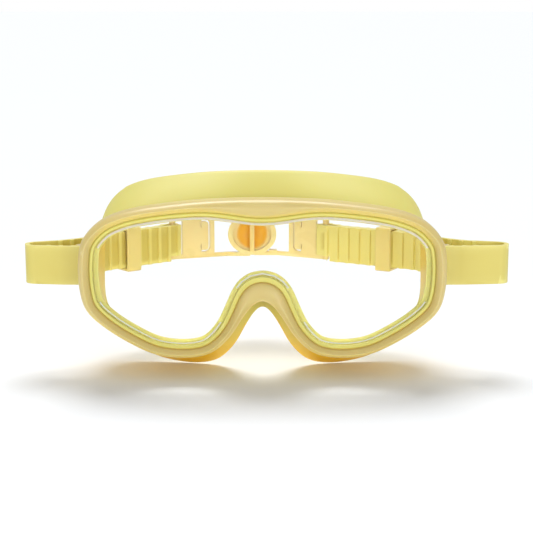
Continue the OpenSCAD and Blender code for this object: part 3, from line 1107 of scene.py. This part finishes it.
@dataclass
class RearClip:
    """Two-part clip that joins the strap behind the head.

    Attributes:
        nodes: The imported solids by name.
        effects: The shared groups.
        rounding: Width of the rounded edges in millimetres.
        corner: Degrees above which an edge is rounded and sharp.
        dome_depth: How far the hollow's middle lies behind the dome's tip, in millimetres.
        dome_reach: Radius of the hollow in millimetres.
    """

    nodes: dict[str, bpy.types.Object]
    effects: Effects
    rounding: float = 0.3
    corner: float = 40.0
    dome_depth: float = 3.0
    dome_reach: float = 8.6

    def build(self) -> list[bpy.types.Object]:
        """Makes both halves.

        Returns:
            The finished pieces.
        """
        return [self.half(side) for side in Side]

    def half(self, side: Side) -> bpy.types.Object:
        """Makes one half.

        Args:
            side: The half's side.

        Returns:
            The finished half.
        """
        node = f"{side.value}_clip"
        half = Bench.copy_of(self.nodes[node], f"{side.value}_clip_half")
        Bench.clean(half, Cleaning.FLATS)
        Bench.round_edges(half, self.rounding, 2, self.corner)
        Bench.shade(half, self.corner)
        Bench.even_normals(half)
        # The dome's hollow gets a painted glow and shade in the clip's colour.
        hollow = self.dome(half) if side is Side.LEFT else None
        Bench.dress(half, CLIP_GLOSS.material(f"{node}_gloss", self.effects, hollow))
        Bench.file_away(half, node, node, "clip")
        return half

    def dome(self, half: bpy.types.Object) -> tuple[Vector, float]:
        """Finds the dome of the finger pad from its rearmost points.

        Args:
            half: The half that carries the dome.

        Returns:
            The middle of the dome's hollow and its radius.
        """
        points = [v.co for v in half.data.vertices]
        rear = max(p.y for p in points)
        tip = [p for p in points if p.y > rear - TIP_BAND]
        middle = sum((p for p in tip), Vector()) / len(tip)
        return middle - Vector((0.0, self.dome_depth * MM, 0.0)), self.dome_reach * MM


# ---- Studio ----


@dataclass(frozen=True)
class Softbox:
    """A soft light that faces the mask.

    Attributes:
        name: Name of the light.
        away: Its place from the rim's middle, in metres.
        power: Its power in watts.
        size: Its width and height in metres.
    """

    name: str
    away: tuple[float, float, float]
    power: float
    size: tuple[float, float] = (0.6, 0.36)


SOFTBOXES = (
    Softbox("left_softbox", (-0.5, -0.95, 0.15), 1.95),
    Softbox("right_softbox", (0.45, -1.0, 0.18), 2.85),
)


@dataclass
class Studio:
    """White paper floor, soft lights and the camera.

    Attributes:
        rim_box: Lowest and highest corners of the front rim.
        whole_box: Lowest and highest corners of the whole mask.
        camera_distance: Metres from the camera to the point it looks at.
        camera_elevation: Degrees that it looks down.
        lens_length: Focal length in millimetres.
        sensor_width: Width of the sensor in millimetres.
        aim_right: How far beside the rim's middle it looks, in metres.
        aim_up: How far above the rim's middle it looks, in metres.
        paper_size: Side of the floor in metres.
        paper_gap: Gap under the mask in metres.
        paper_colour: Colour of the floor.
        paper_roughness: Roughness of the floor.
        air_strength: Strength of the even light.
        overhead_power: Strength of the overhead light.
        overhead_spread: Degrees across the overhead light.
        overhead_course: Direction in which the overhead light shines.
    """

    rim_box: tuple[Vector, Vector]
    whole_box: tuple[Vector, Vector]
    camera_distance: float = 0.600
    camera_elevation: float = 11.0
    lens_length: float = 91.2
    sensor_width: float = 36.0
    aim_right: float = 0.0018
    aim_up: float = 0.00615
    paper_size: float = 60.0
    paper_gap: float = 0.0004
    paper_colour: Colour = (0.925, 0.948, 0.985)
    paper_roughness: float = 0.8
    air_strength: float = 0.48
    overhead_power: float = 2.05
    overhead_spread: float = 30.0
    overhead_course: tuple[float, float, float] = (0.04, -0.55, -1.0)

    def build(self) -> None:
        """Makes the floor, the lights and the camera."""
        self.floor()
        self.sky()
        for box in SOFTBOXES:
            self.light(box)
        self.overhead()
        self.camera()

    def middle(self) -> Vector:
        """Middle of the rim's front."""
        low, high = self.rim_box
        return Vector(((low.x + high.x) / 2, 0.0, (low.z + high.z) / 2))

    def floor(self) -> None:
        """Makes a wide sheet of white paper under the mask."""
        bpy.ops.object.select_all(action="DESELECT")
        ground = self.whole_box[0].z - self.paper_gap
        bpy.ops.mesh.primitive_plane_add(size=self.paper_size, location=(0.0, 0.0, ground))
        floor = bpy.context.active_object
        floor.name = "studio_floor"
        made, _, skin = new_material("floor_paper")
        skin.inputs["Base Color"].default_value = rgba(self.paper_colour)
        skin.inputs["Roughness"].default_value = self.paper_roughness
        floor.data.materials.append(made)
        floor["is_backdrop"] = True

    def sky(self) -> None:
        """Fills the room with even white light, and shows it as plain white."""
        world = bpy.data.worlds.new("studio_air")
        world.use_nodes = True
        tree = world.node_tree
        soft = tree.nodes["Background"]
        soft.inputs["Color"].default_value = WHITE
        soft.inputs["Strength"].default_value = self.air_strength
        seen = tree.nodes.new("ShaderNodeBackground")
        seen.inputs["Color"].default_value = WHITE
        rays = tree.nodes.new("ShaderNodeLightPath")
        either = tree.nodes.new("ShaderNodeMixShader")
        tree.links.new(rays.outputs["Is Camera Ray"], either.inputs[0])
        tree.links.new(soft.outputs[0], either.inputs[1])
        tree.links.new(seen.outputs[0], either.inputs[2])
        tree.links.new(either.outputs[0], tree.nodes["World Output"].inputs["Surface"])
        bpy.context.scene.world = world
        view = bpy.context.scene.view_settings
        view.view_transform = "Standard"
        view.look = "None"

    def overhead(self) -> None:
        """Lights the room evenly from above and a little behind."""
        data = bpy.data.lights.new("overhead_glow", "SUN")
        data.energy = self.overhead_power
        data.angle = math.radians(self.overhead_spread)
        self.hang(data, -Vector(self.overhead_course), Vector(self.overhead_course))

    def light(self, box: Softbox) -> None:
        """Hangs a soft light that faces the mask.

        Args:
            box: The light's own values.
        """
        data = bpy.data.lights.new(box.name, "AREA")
        data.shape = "RECTANGLE"
        data.size, data.size_y = box.size
        data.energy = box.power
        self.hang(data, Vector(box.away), -Vector(box.away))

    def hang(self, data: bpy.types.Light, away: Vector, course: Vector) -> None:
        """Hangs a light in the room.

        Args:
            data: The light.
            away: Its place from the rim's middle, in metres.
            course: Direction in which it shines.
        """
        lamp = bpy.data.objects.new(data.name, data)
        lamp.location = self.middle() + away
        lamp.rotation_euler = course.to_track_quat("-Z", "Y").to_euler()
        bpy.context.scene.collection.objects.link(lamp)

    def camera(self) -> None:
        """Sets the camera a little above the mask, in front of it."""
        data = bpy.data.cameras.new("camera")
        data.lens = self.lens_length
        data.sensor_width = self.sensor_width
        tilt = math.radians(self.camera_elevation)
        aim = self.middle() + Vector((self.aim_right, 0.0, self.aim_up))
        away = Vector((0.0, -math.cos(tilt), math.sin(tilt))) * self.camera_distance
        eye = bpy.data.objects.new("camera", data)
        eye.location = aim + away
        eye.rotation_euler = (math.pi / 2 - tilt, 0.0, 0.0)
        bpy.context.scene.collection.objects.link(eye)
        bpy.context.scene.camera = eye


def main() -> None:
    """Builds the mask and its studio."""
    logging.basicConfig(level=logging.INFO, format="%(name)s: %(message)s")
    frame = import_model()
    cad_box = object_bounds()
    nodes = frame["nodes"]
    effects = Effects()
    makers: list[Callable[[], list[bpy.types.Object]]] = [
        RimSet(nodes, effects).build,
        LensPane(nodes, effects).build,
        FaceSkirt(nodes, effects).build,
        StrapHalf(nodes, effects, Side.LEFT).build,
        StrapHalf(nodes, effects, Side.RIGHT).build,
        RearClip(nodes, effects).build,
    ]
    made = [piece for build in makers for piece in build()]
    Studio(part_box("front_frame"), cad_box).build()
    LOG.info("%d pieces made", len(made))


if __name__ == "__main__":
    main()
